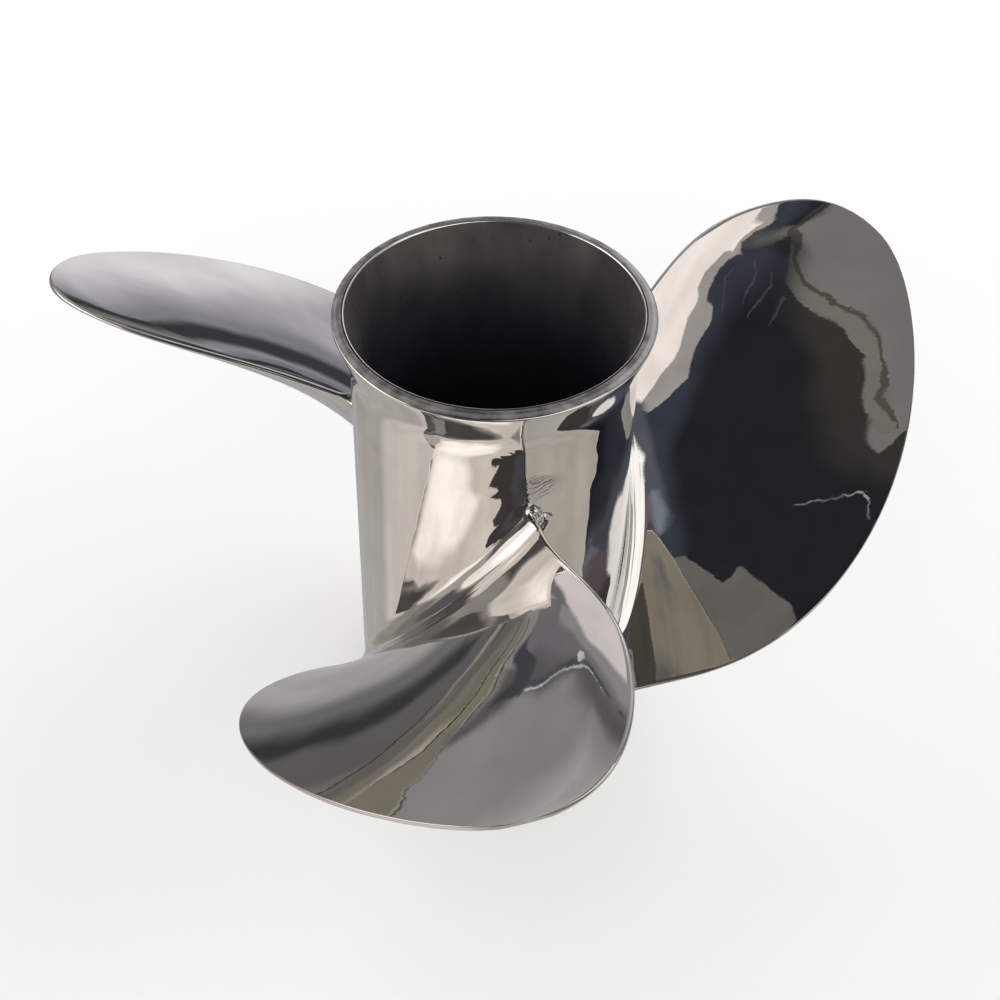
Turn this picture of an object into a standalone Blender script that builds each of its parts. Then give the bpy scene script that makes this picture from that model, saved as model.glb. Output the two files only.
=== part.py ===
"""Three-blade stainless outboard propeller with exhaust through its barrel.

It stands on the forward end of its barrel. The axis is +Z, towards the stern,
and the origin is on the axis at the level of the forward rim.
"""
import math

import bmesh
import bpy
import numpy as np
from mathutils import Matrix

# Barrel: the outer tube that carries the blades
BARREL_LENGTH = 0.168
BARREL_RADIUS = 0.0460
BARREL_WALL = 0.0035
RIM_CHAMFER = 0.0010

# Flared ring on the aft end of the barrel
RING_LIP_RADIUS = 0.0510
RING_MOUTH_RADIUS = 0.0471
RING_FLARE_LENGTH = 0.0125
RING_LIP_DROP = 0.0013
RING_LIP_ROUND = 0.0009

# Blades: angles are about the axis, measured from each blade's tip line
BLADE_COUNT = 3
FIRST_TIP_ANGLE = -86.6
TIP_RADIUS = 0.1683
TIP_ROUNDNESS = 1.5
LEAD_ANGLES = (77.0, 68.0, 64.5, 52.0, 28.0)
TRAIL_ANGLES = (13.0, 15.5, 20.0, 22.5, 28.5)
ROOT_PITCH = 0.4267
TIP_PITCH = 0.3795
BLADE_RAKE = 0.0235
BLADE_SETBACK = 0.0623
ROOT_THICKNESS = 0.0085
TIP_THICKNESS = 0.0026
EDGE_THICKNESS = 0.0018
CUP_WIDTH = 0.012
CUP_HEIGHT = 0.0012

# Root fillets between blade and barrel
FACE_FILLET = 0.008
BACK_FILLET = 0.007
LEAD_FILLET = 0.006
TRAIL_FILLET = 0.002

# Inner hub, its ribs, the rubber bush and the splined sleeve
HUB_RECESS = 0.004
HUB_LENGTH = 0.092
HUB_RADIUS = 0.0285
HUB_WALL = 0.0040
RIB_COUNT = 3
RIB_ANGLE = 30.0
RIB_THICKNESS = 0.0055
RIB_LENGTH = 0.078
RIB_SETBACK = 0.007
BUSH_LENGTH = 0.080
SLEEVE_LENGTH = 0.096
SLEEVE_RADIUS = 0.0172
SPLINE_COUNT = 15
SPLINE_ROOT_RADIUS = 0.0130
SPLINE_CREST_RADIUS = 0.0116
SPLINE_CREST_SHARE = 0.30
SPLINE_ROOT_SHARE = 0.38
EDGE_BREAK = 0.0008

# Clearance between touching pieces
FIT_GAP = 0.0003

# Fineness of the round and lofted shapes
ROUND_STEPS = 72
FLARE_STEPS = 5
CHORD_STEPS = 14
EDGE_STEPS = 5
FILLET_STEPS = 4
SPAN_STEPS = 20
SHARP_ANGLE = 50.0
WELD_DISTANCE = 0.00002

# Heights and radii that follow from the sizes above
HUB_BOTTOM = HUB_RECESS
SLEEVE_BOTTOM = HUB_BOTTOM + (HUB_LENGTH - SLEEVE_LENGTH) / 2
BUSH_BOTTOM = HUB_BOTTOM + (HUB_LENGTH - BUSH_LENGTH) / 2
RING_BOTTOM = BARREL_LENGTH - RING_FLARE_LENGTH
BARREL_TOP = RING_BOTTOM - FIT_GAP
BARREL_BORE = BARREL_RADIUS - BARREL_WALL
HUB_BORE = HUB_RADIUS - HUB_WALL

STEEL = ("polished_steel", (0.62, 0.60, 0.57, 1.0), 0.08, 1.0)
CAST_STEEL = ("cast_steel", (0.20, 0.18, 0.16, 1.0), 0.55, 1.0)
RUBBER = ("rubber", (0.02, 0.02, 0.02, 1.0), 0.75, 0.0)
BRASS = ("brass", (0.70, 0.50, 0.22, 1.0), 0.30, 1.0)


def clear_scene():
    for item in list(bpy.data.objects):
        bpy.data.objects.remove(item, do_unlink=True)


def new_collection(name):
    collection = bpy.data.collections.new(name)
    bpy.context.scene.collection.children.link(collection)
    return collection


def make_material(name, colour, roughness, metallic):
    material = bpy.data.materials.new(name)
    material.use_nodes = True
    shader = material.node_tree.nodes["Principled BSDF"]
    shader.inputs["Base Color"].default_value = colour
    shader.inputs["Roughness"].default_value = roughness
    shader.inputs["Metallic"].default_value = metallic
    return material


def add_object(name, data, collection, finish):
    finish_name, colour, roughness, metallic = finish
    data.materials.append(make_material(f"{name}_{finish_name}", colour, roughness, metallic))
    piece = bpy.data.objects.new(name, data)
    collection.objects.link(piece)
    return piece


def turned(name, profile, collection, finish):
    """A closed outline of (radius, height) points, outer side first from the top, turned about Z."""
    mesh = bpy.data.meshes.new(name)
    count = len(profile)
    points = [(radius, 0.0, height) for radius, height in profile]
    edges = [(i, (i + 1) % count) for i in range(count)]
    mesh.from_pydata(points, edges, [])
    piece = add_object(name, mesh, collection, finish)
    screw = piece.modifiers.new("turn", "SCREW")
    screw.steps = ROUND_STEPS
    screw.render_steps = ROUND_STEPS
    screw.use_merge_vertices = True
    screw.merge_threshold = WELD_DISTANCE
    screw.use_smooth_shade = True
    return piece


def chamfered_tube(outer, inner, bottom, top, chamfer):
    return [
        (outer - chamfer, top),
        (outer, top - chamfer),
        (outer, bottom + chamfer),
        (outer - chamfer, bottom),
        (inner + chamfer, bottom),
        (inner, bottom + chamfer),
        (inner, top - chamfer),
        (inner + chamfer, top),
    ]


def flare(base, lip, top):
    """Outline of a flare that leaves the barrel tangentially and curves out to its lip."""
    points = []
    for i in range(FLARE_STEPS + 1):
        share = i / FLARE_STEPS
        points.append((base + (lip - base) * share**2, RING_BOTTOM + (top - RING_BOTTOM) * share))
    return points


def ring_profile():
    """The lip is a band that slopes down outwards, with its two edges rounded off."""
    band_inner = (RING_MOUTH_RADIUS + RING_LIP_ROUND, BARREL_LENGTH)
    band_outer = (RING_LIP_RADIUS - RING_LIP_ROUND, BARREL_LENGTH - RING_LIP_DROP)
    outer = flare(BARREL_RADIUS, RING_LIP_RADIUS, band_outer[1] - RING_LIP_ROUND)
    inner = flare(BARREL_BORE, RING_MOUTH_RADIUS, band_inner[1] - RING_LIP_ROUND)
    return [band_inner, band_outer] + outer[::-1] + inner


def build_barrel(collection):
    profile = [
        (BARREL_RADIUS, BARREL_TOP),
        (BARREL_RADIUS, RIM_CHAMFER),
        (BARREL_RADIUS - RIM_CHAMFER, 0.0),
        (BARREL_BORE + RIM_CHAMFER, 0.0),
        (BARREL_BORE, RIM_CHAMFER),
        (BARREL_BORE, BARREL_TOP),
    ]
    turned("barrel", profile, collection, STEEL)


def build_ring(collection):
    turned("flared_ring", ring_profile(), collection, STEEL)


def through_stations(values, share):
    """Smooth curve through values given at evenly spaced shares of the blade's height."""
    places = np.linspace(0.0, 1.0, len(values))
    return float(np.polyval(np.polyfit(places, values, len(values) - 1), share))


def fillet_height(size, distance):
    """Height of a quarter-round fillet at a distance from the wall that it meets."""
    if distance >= size:
        return 0.0
    return size - math.sqrt(size**2 - (size - distance) ** 2)


def height_share(radius):
    """Place of a radius on the blade's height, from 0 on the barrel to 1 at the tip."""
    return (radius - BARREL_RADIUS) / (TIP_RADIUS - BARREL_RADIUS)


def helix_slope(radius):
    pitch = ROOT_PITCH + (TIP_PITCH - ROOT_PITCH) * height_share(radius)
    return math.atan2(pitch, 2 * math.pi * radius)


def tip_edge(radius):
    """Half the edge's thickness, which rounds off to nothing at the tip."""
    half_edge = EDGE_THICKNESS / 2
    to_tip = min(TIP_RADIUS - radius, half_edge)
    return math.sqrt(half_edge**2 - (half_edge - to_tip) ** 2)


def section_core(radius):
    """The blade's section at one radius, unrolled, before its edge and fillets are added.

    It runs along the face, round the trailing edge, back along the bellied back and round the
    leading edge, as (position, height, direction in which the surface faces) at each point.
    """
    share = height_share(radius)
    rounding = math.sqrt(1.0 - share**TIP_ROUNDNESS)
    stretch = radius / math.cos(helix_slope(radius))
    half_edge = tip_edge(radius)
    start = half_edge - math.radians(through_stations(LEAD_ANGLES, share)) * rounding * stretch
    end = math.radians(through_stations(TRAIL_ANGLES, share)) * rounding * stretch - half_edge
    chord = end - start
    thickness = ROOT_THICKNESS + (TIP_THICKNESS - ROOT_THICKNESS) * share
    belly = max(thickness - EDGE_THICKNESS, 0.0) * rounding
    steepness = 4.0 * belly / chord
    lean = math.atan(steepness)

    core = []
    for i in range(CHORD_STEPS + 1):
        core.append((start + chord * i / CHORD_STEPS, -half_edge, math.pi / 2))
    for i in range(1, EDGE_STEPS):
        core.append((end, -half_edge, math.pi / 2 - (math.pi - lean) * i / EDGE_STEPS))
    for i in range(CHORD_STEPS + 1):
        place = 1.0 - i / CHORD_STEPS
        height = -half_edge - 4.0 * belly * place * (1.0 - place)
        facing = -math.pi / 2 - math.atan(steepness * (1.0 - 2.0 * place))
        core.append((start + chord * place, height, facing))
    for i in range(1, EDGE_STEPS):
        core.append((start, -half_edge, -math.pi / 2 - lean - (math.pi - lean) * i / EDGE_STEPS))
    return core


def section_outline(radius):
    """The unrolled section with its round edges, its root fillet and the cup of its trailing edge."""
    share = height_share(radius)
    distance = radius - BARREL_RADIUS
    half_edge = tip_edge(radius)
    core = section_core(radius)
    end = core[CHORD_STEPS][0]
    outline = []
    for along, height, facing in core:
        side_fillet = fillet_height(FACE_FILLET if math.sin(facing) > 0 else BACK_FILLET, distance)
        end_fillet = fillet_height(TRAIL_FILLET if math.cos(facing) > 0 else LEAD_FILLET, distance)
        size = half_edge + side_fillet * math.sin(facing) ** 2 + end_fillet * math.cos(facing) ** 2
        along += size * math.cos(facing)
        reach = min(max(1.0 - (end - along) / CUP_WIDTH, 0.0), 1.0)
        cup = CUP_HEIGHT * reach**2 * math.sin(math.pi * share)
        outline.append((along, height + size * math.sin(facing) + cup))
    return outline


def place_on_helix(radius, along, height):
    """Point of a section, given unrolled, at its place on the cylinder of that radius."""
    slope = helix_slope(radius)
    angle = math.radians(FIRST_TIP_ANGLE)
    angle += (along * math.cos(slope) - height * math.sin(slope)) / radius
    level = BARREL_LENGTH - BLADE_SETBACK + BLADE_RAKE * height_share(radius)
    level += along * math.sin(slope) + height * math.cos(slope)
    return radius * math.cos(angle), radius * math.sin(angle), level


def blade_radii():
    """Radii of the blade's sections: close together at the foot of the fillet and towards the tip."""
    root = BARREL_RADIUS + FIT_GAP
    fillet_end = BARREL_RADIUS + max(FACE_FILLET, BACK_FILLET, LEAD_FILLET, TRAIL_FILLET)
    radii = []
    for i in range(FILLET_STEPS):
        radii.append(root + (fillet_end - root) * (1 - math.cos(math.pi / 2 * i / FILLET_STEPS)))
    for i in range(SPAN_STEPS):
        radii.append(fillet_end + (TIP_RADIUS - fillet_end) * math.sin(math.pi / 2 * i / SPAN_STEPS))
    return radii


def add_root_face(mesh, radius, outline, loop):
    """Close the root with strips that follow the barrel, from the blade's face to its back."""
    back_start = CHORD_STEPS + EDGE_STEPS
    face_row = loop[:CHORD_STEPS + 1]
    back_row = loop[back_start:back_start + CHORD_STEPS + 1][::-1]
    rows = [face_row[:1] + face_row + face_row[-1:]]
    for row in range(1, EDGE_STEPS):
        across = row / EDGE_STEPS
        middle = []
        for i in range(CHORD_STEPS + 1):
            face_side = outline[i]
            back_side = outline[back_start + CHORD_STEPS - i]
            along = face_side[0] + (back_side[0] - face_side[0]) * across
            height = face_side[1] + (back_side[1] - face_side[1]) * across
            middle.append(mesh.verts.new(place_on_helix(radius, along, height)))
        rows.append([loop[-row]] + middle + [loop[CHORD_STEPS + row]])
    rows.append(back_row[:1] + back_row + back_row[-1:])
    for lower, upper in zip(rows, rows[1:]):
        for i in range(CHORD_STEPS + 2):
            corners = dict.fromkeys((lower[i], lower[i + 1], upper[i + 1], upper[i]))
            mesh.faces.new(list(corners))


def blade_mesh():
    """A loft through the sections, closed on the barrel by strips and at the tip by a point."""
    mesh = bmesh.new()
    radii = blade_radii()
    outlines = [section_outline(radius) for radius in radii]
    loops = []
    for radius, outline in zip(radii, outlines):
        loops.append([mesh.verts.new(place_on_helix(radius, *point)) for point in outline])
    count = len(loops[0])
    for lower, upper in zip(loops, loops[1:]):
        for i in range(count):
            j = (i + 1) % count
            mesh.faces.new((lower[i], lower[j], upper[j], upper[i]))
    tip = mesh.verts.new(place_on_helix(TIP_RADIUS, 0.0, 0.0))
    for i in range(count):
        mesh.faces.new((loops[-1][i], loops[-1][(i + 1) % count], tip))
    add_root_face(mesh, radii[0], outlines[0], loops[0])
    bmesh.ops.recalc_face_normals(mesh, faces=mesh.faces)
    data = bpy.data.meshes.new("blade")
    mesh.to_mesh(data)
    mesh.free()
    data.shade_smooth()
    data.set_sharp_from_angle(angle=math.radians(SHARP_ANGLE))
    return data


def build_blades(collection):
    data = blade_mesh()
    for i in range(BLADE_COUNT):
        piece = add_object(f"blade_{i + 1}", data.copy(), collection, STEEL)
        piece.rotation_euler = (0.0, 0.0, 2 * math.pi * i / BLADE_COUNT)


def build_hub(collection):
    profile = chamfered_tube(HUB_RADIUS, HUB_BORE, HUB_BOTTOM, HUB_BOTTOM + HUB_LENGTH, EDGE_BREAK)
    turned("inner_hub", profile, collection, CAST_STEEL)


def build_ribs(collection):
    """Flat webs that hold the inner hub in the barrel, their outer ends clear of the round bore."""
    inner_end = HUB_RADIUS + FIT_GAP
    outer_end = math.sqrt((BARREL_BORE - FIT_GAP) ** 2 - (RIB_THICKNESS / 2) ** 2)
    width = outer_end - inner_end
    for i in range(RIB_COUNT):
        mesh = bmesh.new()
        bmesh.ops.create_cube(mesh, size=1.0)
        bmesh.ops.scale(mesh, vec=(width, RIB_THICKNESS, RIB_LENGTH), verts=mesh.verts)
        data = bpy.data.meshes.new("rib")
        mesh.to_mesh(data)
        mesh.free()
        piece = add_object(f"rib_{i + 1}", data, collection, CAST_STEEL)
        angle = math.radians(RIB_ANGLE) + 2 * math.pi * i / RIB_COUNT
        middle = Matrix.Translation(((inner_end + outer_end) / 2, 0.0, RIB_SETBACK + RIB_LENGTH / 2))
        piece.matrix_world = Matrix.Rotation(angle, 4, "Z") @ middle
        bevel = piece.modifiers.new("edges", "BEVEL")
        bevel.width = EDGE_BREAK
        bevel.segments = 1


def build_bush(collection):
    outer = HUB_BORE - FIT_GAP
    inner = SLEEVE_RADIUS + FIT_GAP
    profile = chamfered_tube(outer, inner, BUSH_BOTTOM, BUSH_BOTTOM + BUSH_LENGTH, EDGE_BREAK)
    turned("rubber_bush", profile, collection, RUBBER)


def spline_outline():
    """Inside outline of the splined bore, with a flat crest and a flat root to each tooth."""
    flank_share = (1.0 - SPLINE_CREST_SHARE - SPLINE_ROOT_SHARE) / 2
    root_start = SPLINE_CREST_SHARE + flank_share
    corners = (
        (SPLINE_CREST_RADIUS, 0.0),
        (SPLINE_CREST_RADIUS, SPLINE_CREST_SHARE),
        (SPLINE_ROOT_RADIUS, root_start),
        (SPLINE_ROOT_RADIUS, root_start + SPLINE_ROOT_SHARE),
    )
    points = []
    for i in range(SPLINE_COUNT):
        for radius, share in corners:
            angle = 2 * math.pi * (i + share) / SPLINE_COUNT
            points.append((radius * math.cos(angle), radius * math.sin(angle)))
    return points


def circle_outline(radius, steps):
    return [(radius * math.cos(2 * math.pi * i / steps), radius * math.sin(2 * math.pi * i / steps))
            for i in range(steps)]


def build_sleeve(collection):
    """Brass sleeve on the propeller shaft, with the splines cut right through it."""
    curve = bpy.data.curves.new("spline_sleeve", "CURVE")
    curve.dimensions = "2D"
    curve.fill_mode = "BOTH"
    curve.extrude = SLEEVE_LENGTH / 2
    for outline in (circle_outline(SLEEVE_RADIUS, ROUND_STEPS), spline_outline()):
        spline = curve.splines.new("POLY")
        spline.points.add(len(outline) - 1)
        for point, (x, y) in zip(spline.points, outline):
            point.co = (x, y, 0.0, 1.0)
        spline.use_cyclic_u = True
    piece = add_object("spline_sleeve", curve, collection, BRASS)
    piece.location = (0.0, 0.0, SLEEVE_BOTTOM + SLEEVE_LENGTH / 2)


def main():
    clear_scene()
    collection = new_collection("outboard_propeller")
    build_barrel(collection)
    build_ring(collection)
    build_blades(collection)
    build_hub(collection)
    build_ribs(collection)
    build_bush(collection)
    build_sleeve(collection)


main()
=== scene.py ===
"""Looks of the outboard propeller: mirror-polished steel, a bore left as cast, rubber and brass."""
import math

import bmesh
import bpy
import numpy as np
from mathutils import Matrix, Vector, noise


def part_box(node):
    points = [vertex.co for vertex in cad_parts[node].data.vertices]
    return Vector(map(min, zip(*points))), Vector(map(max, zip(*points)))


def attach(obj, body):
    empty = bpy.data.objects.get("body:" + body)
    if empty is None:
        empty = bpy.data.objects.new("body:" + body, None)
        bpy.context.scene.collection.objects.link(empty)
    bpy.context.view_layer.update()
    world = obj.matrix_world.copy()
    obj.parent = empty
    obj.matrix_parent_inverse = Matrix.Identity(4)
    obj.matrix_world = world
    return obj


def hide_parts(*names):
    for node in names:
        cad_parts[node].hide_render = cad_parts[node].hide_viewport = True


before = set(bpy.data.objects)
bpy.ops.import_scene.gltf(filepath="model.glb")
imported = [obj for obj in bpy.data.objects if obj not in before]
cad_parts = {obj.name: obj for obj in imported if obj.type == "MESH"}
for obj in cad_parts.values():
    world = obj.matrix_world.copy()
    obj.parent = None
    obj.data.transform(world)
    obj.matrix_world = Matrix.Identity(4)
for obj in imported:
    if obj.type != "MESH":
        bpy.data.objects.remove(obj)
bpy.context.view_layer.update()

# Sizes read from the solids
BARREL_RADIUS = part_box("barrel")[1].x
LIP_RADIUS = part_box("flared_ring")[1].x
BARREL_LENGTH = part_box("flared_ring")[1].z
RING_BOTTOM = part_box("flared_ring")[0].z
HUB_LOW, HUB_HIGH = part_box("inner_hub")
RIB_LOW, RIB_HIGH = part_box("rib_1")
BUSH_LOW, BUSH_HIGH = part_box("rubber_bush")
SLEEVE_LOW, SLEEVE_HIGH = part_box("spline_sleeve")

# Barrel and ring, in metres
BARREL_WALL = 0.0035
MOUTH_RADIUS = 0.0471
LIP_DROP = 0.0013
OUTER_ROUND = 0.0008
INNER_ROUND = 0.0007
FORWARD_ROUND = 0.0010

# Fineness of the turned pieces: points round them, rows up the barrel with one in BORE_SKIP of them
# inside, and degrees to a step of a rounding
TURN_STEPS = 288
HEIGHT_STEPS = 120
BORE_SKIP = 5
INNER_TURN_STEPS = 144
ARC_STEP = 12.0

# Flare: how far under the ring it starts, the share of its height that it curves over before it runs
# straight, and the share where its points end, to leave room for the lip's rounding
FLARE_DROP = 0.009
FLARE_BEND = 0.5
FLARE_END = 0.86
FLARE_STEPS = 24
FLARE_BOTTOM = RING_BOTTOM - FLARE_DROP

# The lip's outer corner before it is rounded lies this much further out
LIP_SPARE = 0.0004

# Lip's face, as (distance out from the mouth, depth under the aft end): rim, fine groove, satin face
# The fine groove lies between these distances out from the mouth; its faces take the dark cast steel as
# painted shade.
GROOVE_START = 0.00042
GROOVE_END = 0.00093
LIP_FACE = (
    (0.00045, 0.0),
    (0.00051, 0.0005),
    (0.00086, 0.0005),
    (0.00092, 0.00012),
    (0.0020, 0.00036),
)

# Faces that look up at least this much are the satin face. Its colour is painted shade on its inner part
# and a painted sheen that turns it paler between these distances
SATIN_FACING = 0.8
SATIN_PAINTED_SHEEN = (0.0021, 0.0027)

# Heights between which the painted shade deep in the bore fades out, and how far that line wanders
PAINTED_SHADE_HEIGHTS = (0.136, 0.176)
PAINTED_SHADE_WANDER = 0.016

# Inner hub with its ribs, rubber bush and splined sleeve, in metres and degrees
HUB_WALL = 0.0040
HUB_ROUND = 0.0012
RIB_THICKNESS = 0.0055
RIB_ROUND = 0.0012
RIB_FILLET = 0.0035
RIB_ANGLE = 30.0
RIB_COUNT = 3
RIB_STATIONS = 33
RIB_OVERLAP = 0.0003
BUSH_ROUND = 0.0008
BUSH_DISH = 0.0011
BUSH_DISH_ROUND = 0.004
SPLINE_COUNT = 15
SPLINE_COLUMNS = 24
SPLINE_CREST = 0.0116
SPLINE_ROOT = 0.0130
CREST_SHARE = 0.30
ROOT_SHARE = 0.38
SLEEVE_CHAMFER = 0.0008
SLEEVE_SHARP_ANGLE = 20.0
LEAD_IN = 0.0011
LEAD_IN_SPARE = 0.0003

# Weld bead at the aft end of each blade's trailing root, in degrees from the tip line and metres
BEAD_ANGLE = 14.6
BEAD_DROP = 0.0475
BEAD_SIZE = (0.0021, 0.0019, 0.0056)
BEAD_LUMPS = ((0.0030, 0.0007), (0.0014, 0.00022))
BEAD_LEAN = 20.0
BEAD_TAPER = 0.3
# Bead faces this close to the barrel take the dark cast steel as painted shade round the bead's foot
BEAD_PAINTED_SHADE_REACH = 0.00035
BEAD_FINENESS = 5

# Each bead takes its lumps from a place this much further along
BEAD_SHIFT = 0.05

# Fine wrinkles in the polish beside each bead: their middle, reach and the share of it at full
# height, slant, fineness and height, and how far out from the barrel they end
WRINKLE_ANGLE = 14.1
WRINKLE_DROP = 0.0365
WRINKLE_REACH = 0.0078
WRINKLE_CORE = 0.3
WRINKLE_SLOPE = 35.0
WRINKLE_STRETCH = (0.3, 1.0, 1.0)
WRINKLE_SCALE = 1000.0
WRINKLE_HEIGHT = 0.00013
WRINKLE_MARGIN = 0.0004

# Blades: the same form as the solids, with angles from each blade's tip line
BLADE_COUNT = 3
FIRST_TIP_ANGLE = -86.6
TIP_RADIUS = 0.1683
TIP_ROUNDNESS = 1.5
LEAD_ANGLES = (77.0, 68.0, 64.5, 52.0, 28.0)
TRAIL_ANGLES = (13.0, 15.5, 20.0, 22.5, 28.5)
ROOT_PITCH = 0.4267
TIP_PITCH = 0.3795
BLADE_RAKE = 0.0235
BLADE_SETBACK = 0.0623
ROOT_THICKNESS = 0.0085
TIP_THICKNESS = 0.0026
EDGE_THICKNESS = 0.0018
CUP_WIDTH = 0.012
CUP_HEIGHT = 0.0012
FACE_FILLET = 0.008
BACK_FILLET = 0.007
LEAD_FILLET = 0.006
TRAIL_FILLET = 0.002

# The solids' facets cut this much off the curved outline, and the smooth blades stay inside it
FACET_INSET = 0.00024

# The blades' feet run this far into the barrel
FOOT_DEPTH = 0.0004

# Fineness of the blade mesh
CHORD_STEPS = 130
EDGE_STEPS = 14
FILLET_STEPS = 36
FILLET_BUNCHING = 1.5
SPAN_STEPS = 110
SHORTEST_CHORD = 1e-9

# Edges sharper than this, in degrees, stay sharp, and points closer than this, in metres, are one
SHARP_ANGLE = 60.0
SAME_POINT = 1e-7

# Ripples left by hand polishing, as (wavelength, height); on the barrel they run round it
BLADE_RIPPLES = ((0.030, 0.00018), (0.012, 0.00004))
BARREL_RIPPLES = ((0.011, 0.00010), (0.005, 0.000015))
BARREL_RIPPLE_STRETCH = 3.0

# The blades' ripples take over within this distance past the lip's radius
RIPPLE_BLEND = 0.010

# No ripples this close to either end of the barrel
RIPPLE_MARGIN = 0.003

# Camera, fitted to the photo's outlines: focal length in parts of the picture's width, angles in
# radians, and distances behind the axis and above the aft end
FOCAL_LENGTH = 1951.4 / 1000
CAMERA_YAW = 0.0054
CAMERA_PITCH = 0.7639
CAMERA_ROLL = 0.0158
CAMERA_DISTANCE = 0.4809
CAMERA_ABOVE = 0.3782
SENSOR_WIDTH = 36.0
NEAREST_SEEN = 0.01

# Floor: half its side in metres, and its two shades
FLOOR_REACH = 8.0
FLOOR_COLOURS = ((0.855, 0.857, 0.86), (0.88, 0.882, 0.885))

# Studio that the polished steel reflects: its ground, wall and upper wall, and where each gives way
GROUND_COLOUR = (0.50, 0.48, 0.45)
WALL_COLOUR = (0.21, 0.20, 0.19)
UPPER_COLOUR = (0.25, 0.24, 0.235)
GROUND_FADE = (-4.0, 0.0)
UPPER_FADE = (34.0, 46.0)

# Its edges waver a little, and its brightness is faintly clouded
WARP_SCALE = 9.0
WARP_SIZE = 0.013
CLOUD_SCALE = 6.0
CLOUD_DEPTH = 0.07

# Degrees from side to side and from nadir to zenith
AZIMUTH_SPAN = 360
ELEVATION_SPAN = 180


def shifted(edge, by):
    """The same edge, further across."""
    return tuple((along, across + by) for along, across in edge)


# Lower edge of the brown line, which the light line beside it follows
BROWN_EDGE = (
    (-158, 15.9), (-155, 14.2), (-154, 12.8), (-153, 9.8), (-150, 8.9), (-146, 8.4), (-143, 8.1),
    (-139, 6.2),
)

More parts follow.
